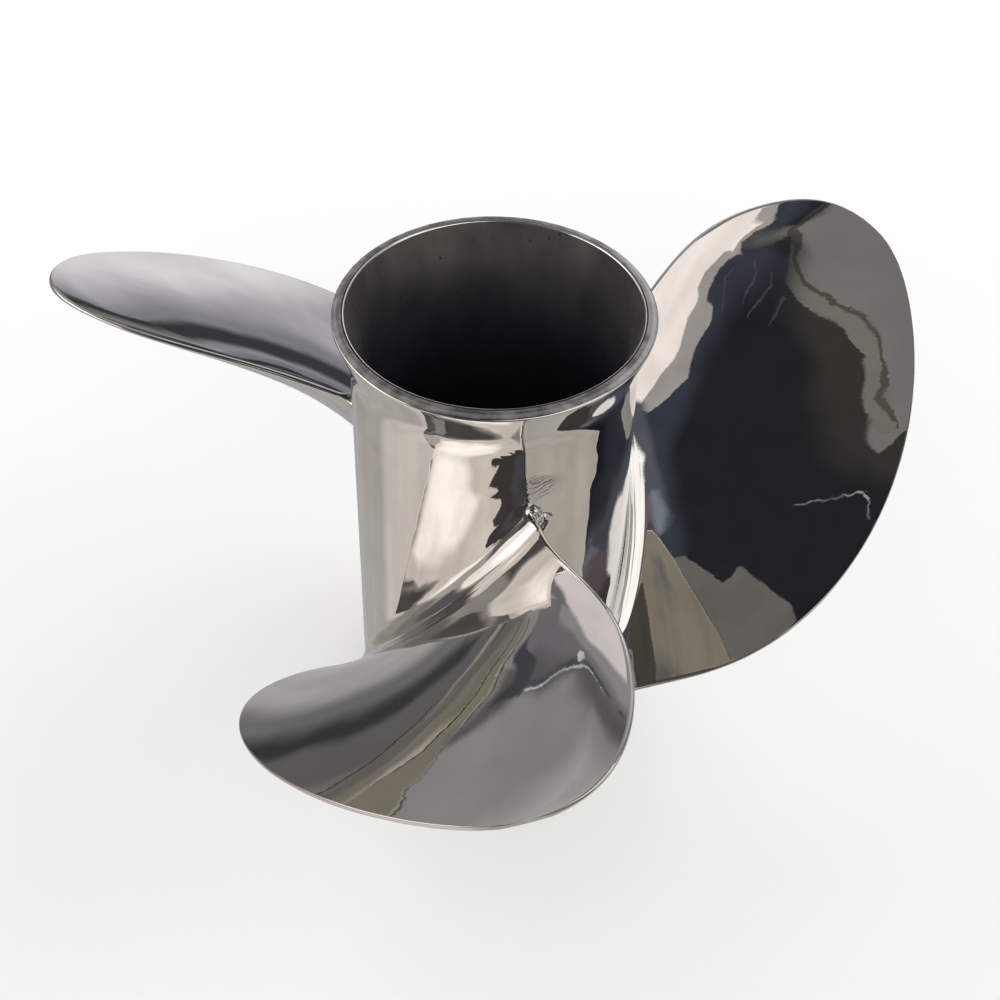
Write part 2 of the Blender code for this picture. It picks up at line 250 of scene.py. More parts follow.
# Each patch of the studio has a colour, a softness in degrees and two edges, which are lists of
# points. Its points are (azimuth, elevation) in degrees where it is given along the azimuth, and
# (elevation, azimuth) where it is given along the elevation. Azimuth 0 is the camera's side and 90
# the right. Later patches cover earlier ones.
PATCHES = (
    ("ground behind", (0.46, 0.455, 0.45), 3.0, "azimuth",
     ((-180, -70), (-136, -70)),
     ((-180, -9), (-136, -9))),
    ("ground, left", (0.53, 0.505, 0.46), 4.0, "azimuth",
     ((-140, -70), (-80, -70)),
     ((-140, -36), (-80, -36))),
    ("bright ground, left", (0.8, 0.73, 0.69), 12.0, "azimuth",
     ((-92, -84), (-46, -84)),
     ((-92, -26), (-46, -26))),
    ("olive ground, left", (0.37, 0.35, 0.29), 2.5, "azimuth",
     ((-146, -41), (-104, -40), (-80, -39)),
     ((-146, -29), (-80, -29))),
    ("dark ground, left", (0.26, 0.25, 0.23), 3.0, "azimuth",
     ((-146, -29), (-84, -29)),
     ((-146, -13), (-96, -18), (-84, -20))),
    ("ground, right", (0.56, 0.52, 0.47), 4.0, "azimuth",
     ((20, -70), (120, -70)),
     ((20, -37), (120, -37))),
    ("back wall, right", (0.3, 0.3, 0.34), 3.0, "azimuth",
     ((130, -9), (180, -9)),
     ((130, 84), (180, 84))),
    ("lit back wall, right", (0.57, 0.56, 0.61), 4.5, "azimuth",
     ((130, 3.5), (180, 3.5)),
     ((130, 60), (180, 60))),
    ("dim wall, far right", (0.2, 0.2, 0.2), 2.0, "azimuth",
     ((133, 2), (147, 2)),
     ((133, 25), (147, 25))),
    ("brightest back wall", (1.02, 0.99, 1.05), 4.5, "azimuth",
     ((148, 24), (160, 14), (170, 8.5), (180, 8)),
     ((148, 26), (160, 36), (180, 36))),
    ("ground behind, right", (0.31, 0.305, 0.345), 2.0, "azimuth",
     ((146, -60), (180, -60)),
     ((146, -10), (180, -10))),
    ("skirting, right", (0.055, 0.055, 0.065), 2.2, "azimuth",
     ((146, -16), (166, -16), (172, -14.5), (180, -12)),
     ((146, -5), (170, -5), (180, -4))),
    ("back wall, left", (0.34, 0.335, 0.34), 3.0, "azimuth",
     ((-180, -2), (-134, -2)),
     ((-180, 84), (-134, 84))),
    ("lit back wall, left", (0.6, 0.59, 0.6), 3.0, "azimuth",
     ((-180, 20), (-154, 22), (-147, 26)),
     ((-180, 60), (-160, 60), (-147, 27))),
    ("shade, left", (0.2, 0.2, 0.2), 4.0, "azimuth",
     ((-180, -15), (-144, -15)),
     ((-180, 4), (-144, 4))),
    ("skirting, left", (0.055, 0.055, 0.06), 2.5, "azimuth",
     ((-180, -7), (-149, -7)),
     ((-180, -1), (-156, -1), (-149, 1))),
    ("olive wall", (0.27, 0.245, 0.2), 0.2, "azimuth",
     ((-166, 4), (-139, 4)),
     ((-166, 17), (-157, 15.5), (-155, 14), (-154, 12.6), (-153, 9.6), (-150, 8.7), (-146, 8.2),
      (-143, 7.9), (-139, 6))),
    ("shade under the olive wall", (0.15, 0.148, 0.15), 1.6, "azimuth",
     ((-166, -2), (-139, -2)),
     ((-166, 4), (-139, 4))),
    ("mid wall", (0.21, 0.205, 0.22), 0.8, "elevation",
     ((9.5, -144), (13, -146), (16, -144.5), (20, -141.5), (23, -141.5), (25, -144)),
     ((9.5, -131), (12, -134), (14, -137), (20, -138), (25, -139))),
    ("brown line", (0.12, 0.1, 0.085), 0.12, "azimuth",
     BROWN_EDGE,
     shifted(BROWN_EDGE, 0.3)),
    ("light line", (0.5, 0.46, 0.42), 0.1, "azimuth",
     shifted(BROWN_EDGE, -0.3),
     shifted(BROWN_EDGE, -0.15)),
    ("dim part of the mid wall", (0.14, 0.135, 0.145), 1.5, "elevation",
     ((12, -145), (16, -145), (20, -142), (24, -144)),
     ((12, -141), (16, -141.5), (20, -140), (24, -140))),
    ("dark side of the pale line", (0.1, 0.1, 0.11), 0.25, "elevation",
     ((12.5, -145.5), (16, -144), (18, -142.3), (20, -141.2), (22, -140.4)),
     ((12.5, -144.7), (16, -143.1), (18, -141.3), (20, -140.2), (22, -139.4))),
    ("pale line", (0.7, 0.71, 0.76), 0.12, "elevation",
     ((13.5, -145.6), (16, -144.15), (18, -142.45), (20, -141.35), (21.9, -140.65)),
     ((13.5, -145.35), (16, -143.9), (18, -142.2), (20, -141.1), (21.9, -140.4))),
    ("dark mark's shade", (0.14, 0.135, 0.13), 1.0, "azimuth",
     ((-152, 9), (-148, 9.5), (-145, 9)),
     ((-152, 10.5), (-148, 13), (-145, 13))),
    ("dark mark", (0.075, 0.073, 0.085), 0.6, "azimuth",
     ((-148, 10.5), (-145, 11), (-143, 9), (-141, 9)),
     ((-148, 11.5), (-146, 13.5), (-143.5, 13), (-142, 12), (-141, 9.5))),
    ("rim of the upper wall", (0.11, 0.1, 0.085), 0.2, "elevation",
     ((66, 96), (70, 84), (76, 60), (82, 20), (87, -30)),
     ((66, 112), (68.2, 110), (68.8, 103), (71, 97), (74, 93), (76, 93), (78, 99), (80.5, 100),
      (84, 90), (86, 78), (87, 40))),
    ("edge of the upper wall", (0.24, 0.225, 0.195), 0.25, "elevation",
     ((66, 96), (70, 84), (76, 60), (82, 20), (86.5, -30)),
     ((66, 110), (68, 106), (69, 100), (71, 95), (74, 91), (76, 90.5), (78, 96), (80.5, 97), (84, 86),
      (86, 60), (86.5, 0))),
    ("dark ceiling", (0.05, 0.048, 0.042), 0.3, "azimuth",
     ((-88, 58), (-64, 56), (-26, 38), (-12, 32), (20, 31), (40, 33), (60, 44), (94, 60.5),
      (104, 65.5), (108, 67)),
     ((-88, 88), (-44, 88), (-37, 83.5), (-25, 83), (0, 84.7), (30, 84.7), (60, 83.5), (78, 82),
      (82, 78), (83, 74), (85, 71.7), (94, 69), (104, 68), (108, 67.5))),
    ("darkest ceiling", (0.022, 0.024, 0.029), 3.0, "azimuth",
     ((-88, 56), (-64, 54), (-26, 38), (-12, 32), (20, 31), (40, 33), (60, 44), (94, 60), (106, 66)),
     ((-88, 84), (-42, 80), (0, 78), (50, 77), (70, 73), (90, 70), (106, 69))),
    ("blue of the ceiling", (0.052, 0.06, 0.082), 4.0, "azimuth",
     ((-26, 36), (-12, 28), (40, 30), (60, 42), (100, 62)),
     ((-26, 42), (0, 42), (20, 44), (45, 53), (75, 64), (100, 68))),
    ("scratch 1", (0.11, 0.115, 0.14), 0.15, "azimuth",
     ((72, 61), (79, 61), (84, 61), (90, 62)),
     ((72, 61.15), (79, 61.2), (84, 61.2), (90, 62.1))),
    ("scratch 2", (0.1, 0.105, 0.13), 0.15, "azimuth",
     ((75, 65), (82, 65), (91, 65), (95, 64)),
     ((75, 65.1), (82, 65.2), (91, 65.2), (95, 64.1))),
    ("scratch 3", (0.11, 0.115, 0.14), 0.15, "azimuth",
     ((69, 66), (79, 67), (88, 68), (94, 67)),
     ((69, 66.1), (79, 67.2), (88, 68.2), (94, 67.1))),
    ("scratch 4", (0.1, 0.105, 0.13), 0.15, "azimuth",
     ((68, 69), (75, 70), (85, 70)),
     ((68, 69.1), (75, 70.2), (85, 70.1))),
    ("white scratch", (0.5, 0.5, 0.5), 0.1, "azimuth",
     ((-66, 76), (-58, 77.9), (-48, 78.2), (-44, 77.8), (-41, 76.8), (-39, 76.6), (-37, 75),
      (-36, 73.4), (-34, 72), (-30, 70)),
     ((-66, 76.15), (-58, 78.05), (-48, 78.4), (-44, 78.1), (-41, 77.1), (-39, 76.8), (-37, 75.3),
      (-36, 73.7), (-34, 72.2), (-30, 70.15))),
    ("grey, front left", (0.185, 0.178, 0.168), 0.2, "azimuth",
     ((-90, 20), (-20, 20)),
     ((-90, 57), (-80, 59), (-70, 60), (-63, 59), (-53, 57), (-48, 56), (-44.6, 55), (-43.6, 50.5),
      (-41, 49), (-34, 46), (-27, 42.5), (-24, 33), (-20, 22))),
    ("notch in the grey", (0.024, 0.026, 0.031), 0.15, "elevation",
     ((49.5, -43), (50.3, -46), (51, -48.2), (53, -47.2), (54.4, -44.8)),
     ((49.5, -40), (54.4, -40))),
    ("window haze", (0.48, 0.455, 0.44), 0.25, "azimuth",
     ((40, 38), (44, 33), (60, 30), (80, 26), (86, 36), (94, 58), (96, 61)),
     ((40, 39), (42, 45), (48, 50.5), (58, 53), (64, 56), (70, 58.5), (75, 58.5), (77, 57), (82, 58.5),
      (88, 59.5), (94, 61.5), (96, 62.5))),
    ("window", (1.28, 1.18, 1.12), 0.3, "azimuth",
     ((44, 34), (60, 31), (80, 27), (86, 38), (93, 56)),
     ((44, 35), (46, 37.5), (54, 46), (63, 50.3), (72, 52.8), (79, 55.2), (84, 54.5), (89, 56.5),
      (93, 60))),
    ("blue strip", (0.12, 0.13, 0.165), 2.0, "azimuth",
     ((-14, 30), (44, 30)),
     ((-14, 36), (-8, 40), (10, 39), (30, 37), (44, 37))),
    ("blue spot", (0.25, 0.29, 0.35), 1.5, "azimuth",
     ((-13, 34), (3, 34)),
     ((-13, 36), (-5, 39.5), (3, 37))),
    ("dark front wall", (0.085, 0.08, 0.085), 1.0, "azimuth",
     ((-52, -2), (-30, -4), (30, -2)),
     ((-52, 22), (-40, 36), (-10, 33), (0, 31), (10, 30), (30, 20))),
    ("pink front wall", (0.2, 0.155, 0.17), 2.0, "azimuth",
     ((-6, 28), (4, 26)),
     ((-6, 34), (4, 35))),
    ("white wall, right", (1.5, 1.46, 1.4), 1.0, "azimuth",
     ((1, 23), (10, 18), (20, 11), (35, 3), (60, -3), (80, -1), (93, 4)),
     ((1, 28), (8, 31.5), (12, 33.5), (22, 33.5), (32, 31), (45, 29), (60, 22), (93, 12))),
    ("grey streak in the white wall", (0.62, 0.6, 0.58), 1.0, "azimuth",
     ((40, 9), (55, 8), (76, 5)),
     ((40, 10), (55, 12), (76, 10))),
    ("olive ground, right", (0.46, 0.42, 0.34), 2.0, "azimuth",
     ((10, -23.5), (40, -22.5), (96, -22)),
     ((10, -17), (30, -8), (96, -4))),
    ("dark ground, front", (0.13, 0.12, 0.105), 3.0, "azimuth",
     ((-24, -40), (10, -40), (30, -40), (64, -40)),
     ((-24, -4), (10, -6), (14, -24), (64, -24))),
    ("pink wall, left", (0.85, 0.79, 0.78), 0.8, "elevation",
     ((2, -128), (8, -129.5), (13, -132), (18, -135), (26, -134)),
     ((2, -96), (26, -96))),
    ("white wall, left", (1.3, 1.19, 1.12), 1.0, "azimuth",
     ((-122, 4), (-112, 1), (-104, -5), (-80, -9), (-60, -4), (-53, -3), (-50, 22)),
     ((-122, 6), (-110, 20), (-98, 33), (-84, 35), (-60, 29), (-50, 25))),
    ("bright part of the left wall", (2.25, 2.14, 2.02), 5.0, "azimuth",
     ((-108, 5), (-92, 3), (-80, 2), (-72, 6)),
     ((-108, 20), (-100, 29), (-86, 32), (-78, 29), (-72, 22))),
    ("teeth", (0.1, 0.087, 0.088), 0.4, "elevation",
     ((-1, -46), (1, -54), (4, -56), (7, -51), (9, -52), (11, -58), (12.5, -50), (14, -52),
      (16, -57.5), (17.5, -52), (19, -56), (24, -56)),
     ((-1, -38), (24, -38))),
    ("blue side of the teeth", (0.125, 0.125, 0.145), 3.0, "elevation",
     ((-1, -44.5), (6, -44), (11, -43)),
     ((-1, -38), (11, -38))),
    ("dark gap, left", (0.14, 0.135, 0.13), 2.0, "azimuth",
     ((-126, -20), (-104, -19), (-88, -16)),
     ((-126, -3), (-110, -5), (-104, -7), (-88, -10))),
    ("dark gap, front left", (0.15, 0.14, 0.14), 2.0, "azimuth",
     ((-62, -8), (-40, -13), (-36, -13)),
     ((-62, -6), (-50, -2.5), (-36, -3))),
)

# Soft light for all but glossy reflections: full from low down, more from behind, little from
# overhead. Each fade lies between two dot products, with straight up or with BACK_DIRECTION.
LIGHT_COLOUR = (1.0, 0.998, 0.992, 1.0)
LOW_LIGHT = 2.55
LOW_FADE = (0.45, 0.80)
BACK_LIGHT = 0.8
BACK_DIRECTION = (0.3, 0.9, 0.3)
BACK_FADE = (0.2, 0.9)
OVERHEAD_LIGHT = 0.10


def rounded_outline(corners):
    """Closed (radius, height) outline whose corners, given as (r, z, rounding), are turned into arcs."""
    outline = []
    count = len(corners)
    for i, (r, z, rounding) in enumerate(corners):
        here = Vector((r, z))
        if rounding == 0.0:
            outline.append(here)
            continue
        before = (Vector(corners[i - 1][:2]) - here).normalized()
        after = (Vector(corners[(i + 1) % count][:2]) - here).normalized()
        half = before.angle(after) / 2
        reach = rounding / math.tan(half)
        centre = here + (before + after).normalized() * (rounding / math.sin(half))
        start = here + before * reach - centre
        end = here + after * reach - centre
        sweep = start.angle(end)
        steps = max(2, round(sweep / math.radians(ARC_STEP)))
        for k in range(steps + 1):
            share = k / steps
            mixed = start * math.sin((1 - share) * sweep) + end * math.sin(share * sweep)
            outline.append(centre + mixed / math.sin(sweep))
    return outline


def grid_mesh(name, grid, close_rows):
    """Mesh from rows of points; the columns always close on themselves."""
    rows, columns = grid.shape[:2]
    faces = []
    for row in range(rows if close_rows else rows - 1):
        here = row * columns
        beyond = (row + 1) % rows * columns
        for column in range(columns):
            beside = (column + 1) % columns
            faces.append((here + column, here + beside, beyond + beside, beyond + column))
    mesh = bpy.data.meshes.new(name)
    mesh.from_pydata(grid.reshape(-1, 3).tolist(), [], faces)
    return mesh


def add_piece(name, mesh, materials, slot, *nodes):
    """Put a finished mesh in the scene as the piece that stands for these solids."""
    for material in materials:
        mesh.materials.append(material)
    piece = bpy.data.objects.new(name, mesh)
    bpy.context.scene.collection.objects.link(piece)
    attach(piece, "root")
    if nodes:
        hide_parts(*nodes)


def outward(mesh):
    """Turn all faces outward, weld coincident points and shade smooth."""
    work = bmesh.new()
    work.from_mesh(mesh)
    bmesh.ops.remove_doubles(work, verts=work.verts, dist=SAME_POINT)
    bmesh.ops.recalc_face_normals(work, faces=work.faces)
    work.to_mesh(mesh)
    work.free()
    mesh.shade_smooth()
    mesh.set_sharp_from_angle(angle=math.radians(SHARP_ANGLE))


def turned_grid(outline, steps=TURN_STEPS):
    """Rows of points round the axis, one row for each point of the outline."""
    angles = np.linspace(0.0, 2 * math.pi, steps, endpoint=False)
    radius = np.array([point[0] for point in outline])[:, None]
    height = np.array([point[1] for point in outline])[:, None]
    return np.stack([radius * np.cos(angles), radius * np.sin(angles), height + 0 * angles], axis=-1)


def waves(place, waviness):
    """Sum of smooth random waves at a place, each given as (wavelength, height)."""
    return sum(height * noise.noise(place / length) for length, height in waviness)


def ripple(place):
    """Height of the polishing ripples at a place: the barrel's near the barrel, else the blades'."""
    away = min(max((math.hypot(place.x, place.y) - LIP_RADIUS) / RIPPLE_BLEND, 0.0), 1.0)
    height = 0.0
    if place.z < RIPPLE_MARGIN or place.z > BARREL_LENGTH - RIPPLE_MARGIN:
        return height
    if away < 1.0:
        squeezed = Vector((place.x / BARREL_RIPPLE_STRETCH, place.y / BARREL_RIPPLE_STRETCH, place.z))
        height += (1.0 - away) * waves(squeezed, BARREL_RIPPLES)
    if away > 0.0:
        height += away * waves(place, BLADE_RIPPLES)
    return height


def add_ripples(mesh):
    """Move the points of the polished faces, which have the first material, along their normals."""
    polished = {i for face in mesh.polygons if face.material_index == 0 for i in face.vertices}
    normals = [vertex.normal.copy() for vertex in mesh.vertices]
    for i in sorted(polished):
        vertex = mesh.vertices[i]
        vertex.co += normals[i] * ripple(vertex.co)


def flare(base, lip, top, rounding):
    """Corners of a flare that leaves the barrel smoothly, curves out and runs straight to its lip."""
    corners = []
    for i in range(FLARE_STEPS + 1):
        share = FLARE_END * i / FLARE_STEPS
        bent = min(share, FLARE_BEND)
        out = (bent**2 / 2 + FLARE_BEND * (share - bent)) / (FLARE_BEND - FLARE_BEND**2 / 2)
        corners.append((base + (lip - base) * out, FLARE_BOTTOM + (top - FLARE_BOTTOM) * share, 0.0))
    return corners + [(lip, top, rounding)]


def barrel_shell(polished, satin, cast, painted_highlight_edge):
    """Barrel and flared ring as one skin, because the joint between them is polished away."""
    materials = (polished, satin, cast, painted_highlight_edge)
    satin_slot, cast_and_painted_shade_slot, painted_highlight_slot = 1, 2, 3
    bore = BARREL_RADIUS - BARREL_WALL
    lip_top = BARREL_LENGTH - LIP_DROP
    corners = flare(BARREL_RADIUS, LIP_RADIUS + LIP_SPARE, lip_top, OUTER_ROUND)[::-1]
    heights = [FLARE_BOTTOM * step / HEIGHT_STEPS for step in range(HEIGHT_STEPS - 1, 0, -1)]
    corners += [(BARREL_RADIUS, height, 0.0) for height in heights]
    corners += [(BARREL_RADIUS, 0.0, FORWARD_ROUND), (bore, 0.0, FORWARD_ROUND)]
    corners += [(bore, height, 0.0) for height in heights[-BORE_SKIP:0:-BORE_SKIP]]
    corners += flare(bore, MOUTH_RADIUS, BARREL_LENGTH, INNER_ROUND)
    corners += [(MOUTH_RADIUS + out, BARREL_LENGTH - depth, 0.0) for out, depth in LIP_FACE]
    mesh = grid_mesh("barrel_shell", turned_grid(rounded_outline(corners)), True)
    outward(mesh)
    add_piece("barrel_shell", mesh, materials, "polished_steel", "barrel", "flared_ring")
    for face in mesh.polygons:
        middle, normal = face.center, face.normal
        out = math.hypot(middle.x, middle.y) - MOUTH_RADIUS
        inward = normal.x * middle.x + normal.y * middle.y < 0
        if middle.z > lip_top and out > GROOVE_START:
            # The fine groove takes the dark cast steel as painted shade in it.
            if out < GROOVE_END:
                face.material_index = cast_and_painted_shade_slot
            elif normal.z > SATIN_FACING:
                face.material_index = satin_slot
        elif inward and middle.z < BARREL_LENGTH - INNER_ROUND:
            face.material_index = cast_and_painted_shade_slot
        elif middle.z > lip_top:
            # The lip's other faces take the bright colour of the painted highlight.
            face.material_index = painted_highlight_slot
    add_ripples(mesh)


def inner_hub(cast):
    """Tube in the middle that holds the rubber bush."""
    radius = HUB_HIGH.x
    bore = radius - HUB_WALL
    corners = [(radius, HUB_LOW.z, HUB_ROUND), (radius, HUB_HIGH.z, HUB_ROUND),
               (bore, HUB_HIGH.z, HUB_ROUND), (bore, HUB_LOW.z, HUB_ROUND)]
    mesh = grid_mesh("hub_casting", turned_grid(rounded_outline(corners), INNER_TURN_STEPS), True)
    outward(mesh)
    add_piece("hub_casting", mesh, (cast,), "cast_steel", "inner_hub")


def ribs(cast):
    """Webs between hub and barrel, rounded along their edges and filleted where they meet both."""
    start = HUB_HIGH.x - RIB_OVERLAP
    end = BARREL_RADIUS - BARREL_WALL + RIB_OVERLAP
    spots = start + (end - start) * (1 - np.cos(np.linspace(0.0, math.pi, RIB_STATIONS))) / 2
    rows = []
    for spot in spots:
        fillets = fillet_height(RIB_FILLET, spot - start) + fillet_height(RIB_FILLET, end - spot)
        half = RIB_THICKNESS / 2 + float(fillets)
        corners = [(-half, RIB_LOW.z, RIB_ROUND), (half, RIB_LOW.z, RIB_ROUND),
                   (half, RIB_HIGH.z, RIB_ROUND), (-half, RIB_HIGH.z, RIB_ROUND)]
        outline = rounded_outline(corners)
        rows.append([(math.sqrt(spot**2 - side**2), side, height) for side, height in outline])
    for i in range(RIB_COUNT):
        mesh = grid_mesh("rib", np.array(rows), False)
        outward(mesh)
        angle = math.radians(RIB_ANGLE) + 2 * math.pi * i / RIB_COUNT
        mesh.transform(Matrix.Rotation(angle, 4, "Z"))
        add_piece(f"rib_web_{i + 1}", mesh, (cast,), "cast_steel", f"rib_{i + 1}")


def rubber_bush(rubber):
    """Pressed rubber cushion between hub and sleeve, dished at both ends."""
    outer = HUB_HIGH.x - HUB_WALL
    inner = SLEEVE_HIGH.x
    middle = (outer + inner) / 2
    low, high = BUSH_LOW.z, BUSH_HIGH.z
    corners = [(outer, low, BUSH_ROUND), (outer, high, BUSH_ROUND),
               (middle, high - BUSH_DISH, BUSH_DISH_ROUND),
               (inner, high, BUSH_ROUND), (inner, low, BUSH_ROUND),
               (middle, low + BUSH_DISH, BUSH_DISH_ROUND)]
    mesh = grid_mesh("rubber_cushion", turned_grid(rounded_outline(corners), INNER_TURN_STEPS), True)
    outward(mesh)
    add_piece("rubber_cushion", mesh, (rubber,), "rubber", "rubber_bush")


def spline_sleeve(brass):
    """Brass sleeve with its outer edges chamfered, and the splines cut back at both ends."""
    radius, low, high = SLEEVE_HIGH.x, SLEEVE_LOW.z, SLEEVE_HIGH.z
    columns = SPLINE_COLUMNS * SPLINE_COUNT
    angles = np.linspace(0.0, 2 * math.pi, columns, endpoint=False)
    share = (angles / (2 * math.pi) * SPLINE_COUNT) % 1.0
    flank = (1.0 - CREST_SHARE - ROOT_SHARE) / 2
    falling = np.clip((share - CREST_SHARE) / flank, 0.0, 1.0)
    rising = np.clip((share - 1.0 + flank) / flank, 0.0, 1.0)
    splines = SPLINE_CREST + (SPLINE_ROOT - SPLINE_CREST) * (falling - rising)
    outside = 0 * angles + radius
    chamfer = outside - SLEEVE_CHAMFER
    mouth = 0 * angles + SPLINE_ROOT + LEAD_IN_SPARE
    rows = [(outside, low + SLEEVE_CHAMFER), (outside, high - SLEEVE_CHAMFER), (chamfer, high),
            (mouth, high), (splines, high - LEAD_IN), (splines, low + LEAD_IN), (mouth, low),
            (chamfer, low)]
    x_shares, y_shares = np.cos(angles), np.sin(angles)
    grid = [np.stack([r * x_shares, r * y_shares, 0 * angles + z], axis=-1) for r, z in rows]
    mesh = grid_mesh("brass_sleeve", np.array(grid), True)
    outward(mesh)
    mesh.set_sharp_from_angle(angle=math.radians(SLEEVE_SHARP_ANGLE))
    add_piece("brass_sleeve", mesh, (brass,), "brass", "spline_sleeve")


def weld_beads(polished, cast):
    """Small lumps of weld left at the aft end of each blade's trailing root, with painted shade round
    their feet.
    """
    cast_and_painted_shade_slot = 1
    deep, wide, tall = BEAD_SIZE
    for i in range(BLADE_COUNT):
        work = bmesh.new()
        bmesh.ops.create_icosphere(work, subdivisions=BEAD_FINENESS, radius=1.0)
        angle = math.radians(FIRST_TIP_ANGLE + BEAD_ANGLE) + 2 * math.pi * i / BLADE_COUNT
        root = Matrix.Translation((BARREL_RADIUS, 0.0, BARREL_LENGTH - BEAD_DROP))
        place = Matrix.Rotation(angle, 4, "Z") @ root
        place = place @ Matrix.Rotation(math.radians(BEAD_LEAN), 4, "X")
        for vertex in work.verts:
            away = vertex.co.copy()
            taper = 1.0 + BEAD_TAPER * away.z
            spot = Vector((away.x * deep, away.y * wide * taper, away.z * tall))
            lump = waves(spot + Vector((0.0, 0.0, BEAD_SHIFT * i)), BEAD_LUMPS)
            vertex.co = place @ (spot + away * lump)
        mesh = bpy.data.meshes.new("weld_bead")
        work.to_mesh(mesh)
        work.free()
        mesh.shade_smooth()
        add_piece(f"weld_bead_{i + 1}", mesh, (polished, cast), "polished_steel")
        # Painted shade: faces close to the barrel take the dark cast steel.
        for face in mesh.polygons:
            if math.hypot(face.center.x, face.center.y) < BARREL_RADIUS + BEAD_PAINTED_SHADE_REACH:
                face.material_index = cast_and_painted_shade_slot


def through_stations(values, share):
    """Smooth curve through values given at evenly spaced shares of the blade's height."""
    places = np.linspace(0.0, 1.0, len(values))
    return np.polyval(np.polyfit(places, values, len(values) - 1), share)


def fillet_height(size, distance):
    """Height of a quarter-round fillet at a distance from the wall that it meets."""
    left = np.clip(size - distance, 0.0, size)
    return size - np.sqrt(size**2 - left**2)


def blade_radii():
    """Radii of the blade's sections: closest at the foot of the fillet and towards the tip."""
    largest = max(FACE_FILLET, BACK_FILLET, LEAD_FILLET, TRAIL_FILLET)
    turn = math.pi / 2 * np.linspace(0.0, 1.0, FILLET_STEPS + 1) ** FILLET_BUNCHING
    near = BARREL_RADIUS + largest * (1 - np.cos(turn))
    sweep = np.linspace(0.0, math.pi / 2, SPAN_STEPS + 1)[1:]
    far = near[-1] + (TIP_RADIUS - FACET_INSET - near[-1]) * np.sin(sweep)
    return np.concatenate([[BARREL_RADIUS - FOOT_DEPTH], near, far])


def section_loop(radius):
    """The blade's section at one radius, grown by its edge and root fillet and laid on its cylinder."""
    distance = radius - BARREL_RADIUS
    share = max(distance / (TIP_RADIUS - FACET_INSET - BARREL_RADIUS), 0.0)
    rounding = math.sqrt(max(1.0 - share**TIP_ROUNDNESS, 0.0))
    pitch = ROOT_PITCH + (TIP_PITCH - ROOT_PITCH) * share
    slope = math.atan2(pitch, 2 * math.pi * radius)
    stretch = radius / math.cos(slope)
    edge = EDGE_THICKNESS / 2
    to_tip = min(TIP_RADIUS - FACET_INSET - radius, edge)
    edge = math.sqrt(max(edge**2 - (edge - to_tip) ** 2, 0.0))
    start = -math.radians(through_stations(LEAD_ANGLES, share)) * rounding * stretch + edge
    end = math.radians(through_stations(TRAIL_ANGLES, share)) * rounding * stretch - edge
    end = max(end, start)
    chord = max(end - start, SHORTEST_CHORD)
    belly = (ROOT_THICKNESS + (TIP_THICKNESS - ROOT_THICKNESS) * share - EDGE_THICKNESS) * rounding
    belly = max(belly, 0.0)

    place = np.linspace(0.0, 1.0, CHORD_STEPS + 1)
    lean = math.atan(4.0 * belly / chord)
    trail_turn = np.linspace(math.pi / 2, -math.pi / 2 + lean, EDGE_STEPS + 1)[1:-1]
    lead_turn = np.linspace(-math.pi / 2 - lean, -3 * math.pi / 2, EDGE_STEPS + 1)[1:-1]
    back_place = place[::-1]
    back_turn = -math.pi / 2 - np.arctan(4.0 * belly / chord * (1 - 2 * back_place))
    ones = np.ones(EDGE_STEPS - 1)
    along = np.concatenate([start + chord * place, end * ones, start + chord * back_place, start * ones])
    depth = 4.0 * belly * back_place * (1 - back_place)
    height = -edge + np.concatenate([0 * place, 0 * ones, -depth, 0 * ones])
    turn = np.concatenate([0 * place + math.pi / 2, trail_turn, back_turn, lead_turn])

    normal_along, normal_up = np.cos(turn), np.sin(turn)
    face_fillet, back_fillet, trail_fillet, lead_fillet = (
        fillet_height(size, distance) for size in (FACE_FILLET, BACK_FILLET, TRAIL_FILLET, LEAD_FILLET))
    side_fillet = np.where(normal_up > 0, face_fillet, back_fillet)
    end_fillet = np.where(normal_along > 0, trail_fillet, lead_fillet)
    size = edge + side_fillet * normal_up**2 + end_fillet * normal_along**2
    along = along + size * normal_along
    height = height + size * normal_up
    reach = np.clip(1.0 - (end - along) / CUP_WIDTH, 0.0, 1.0)
    height = height + CUP_HEIGHT * reach**2 * math.sin(math.pi * share)

    angle = math.radians(FIRST_TIP_ANGLE) + (along * math.cos(slope) - height * math.sin(slope)) / radius
    level = BARREL_LENGTH - BLADE_SETBACK + BLADE_RAKE * share
    level = level + along * math.sin(slope) + height * math.cos(slope)
    return np.stack([radius * np.cos(angle), radius * np.sin(angle), level], axis=-1)


def blades(polished):
    """The three blades: one mesh, turned round the axis and rippled where it then lies."""
    mesh = grid_mesh("blade", np.stack([section_loop(radius) for radius in blade_radii()]), False)
    outward(mesh)
    for i in range(BLADE_COUNT):
        turned = mesh.copy()
        turned.transform(Matrix.Rotation(2 * math.pi * i / BLADE_COUNT, 4, "Z"))
        add_ripples(turned)
        add_piece(f"polished_blade_{i + 1}", turned, (polished,), "polished_steel", f"blade_{i + 1}")


def node(tree, kind, inputs=None, output=0, **settings):
    """Add a shader node with these settings and inputs, and return one of its outputs."""
    made = tree.nodes.new("ShaderNode" + kind)
    for name, value in settings.items():
        setattr(made, name, value)
    for key, value in (inputs or {}).items():
        if isinstance(value, bpy.types.NodeSocket):
            tree.links.new(value, made.inputs[key])
        else:
            made.inputs[key].default_value = value
    return made.outputs[output]


def calculate(tree, operation, *values):
    """Arithmetic on numbers or sockets."""
    return node(tree, "Math", dict(enumerate(values)), operation=operation)


def mix_colours(tree, share, first, second):
    """First colour where the share is 0, second where it is 1; sockets 6 and 7 take the two."""
    colours = {0: share}
    for key, colour in ((6, first), (7, second)):
        colours[key] = colour if isinstance(colour, bpy.types.NodeSocket) else (*colour, 1.0)
    return node(tree, "Mix", colours, output=2, data_type="RGBA")


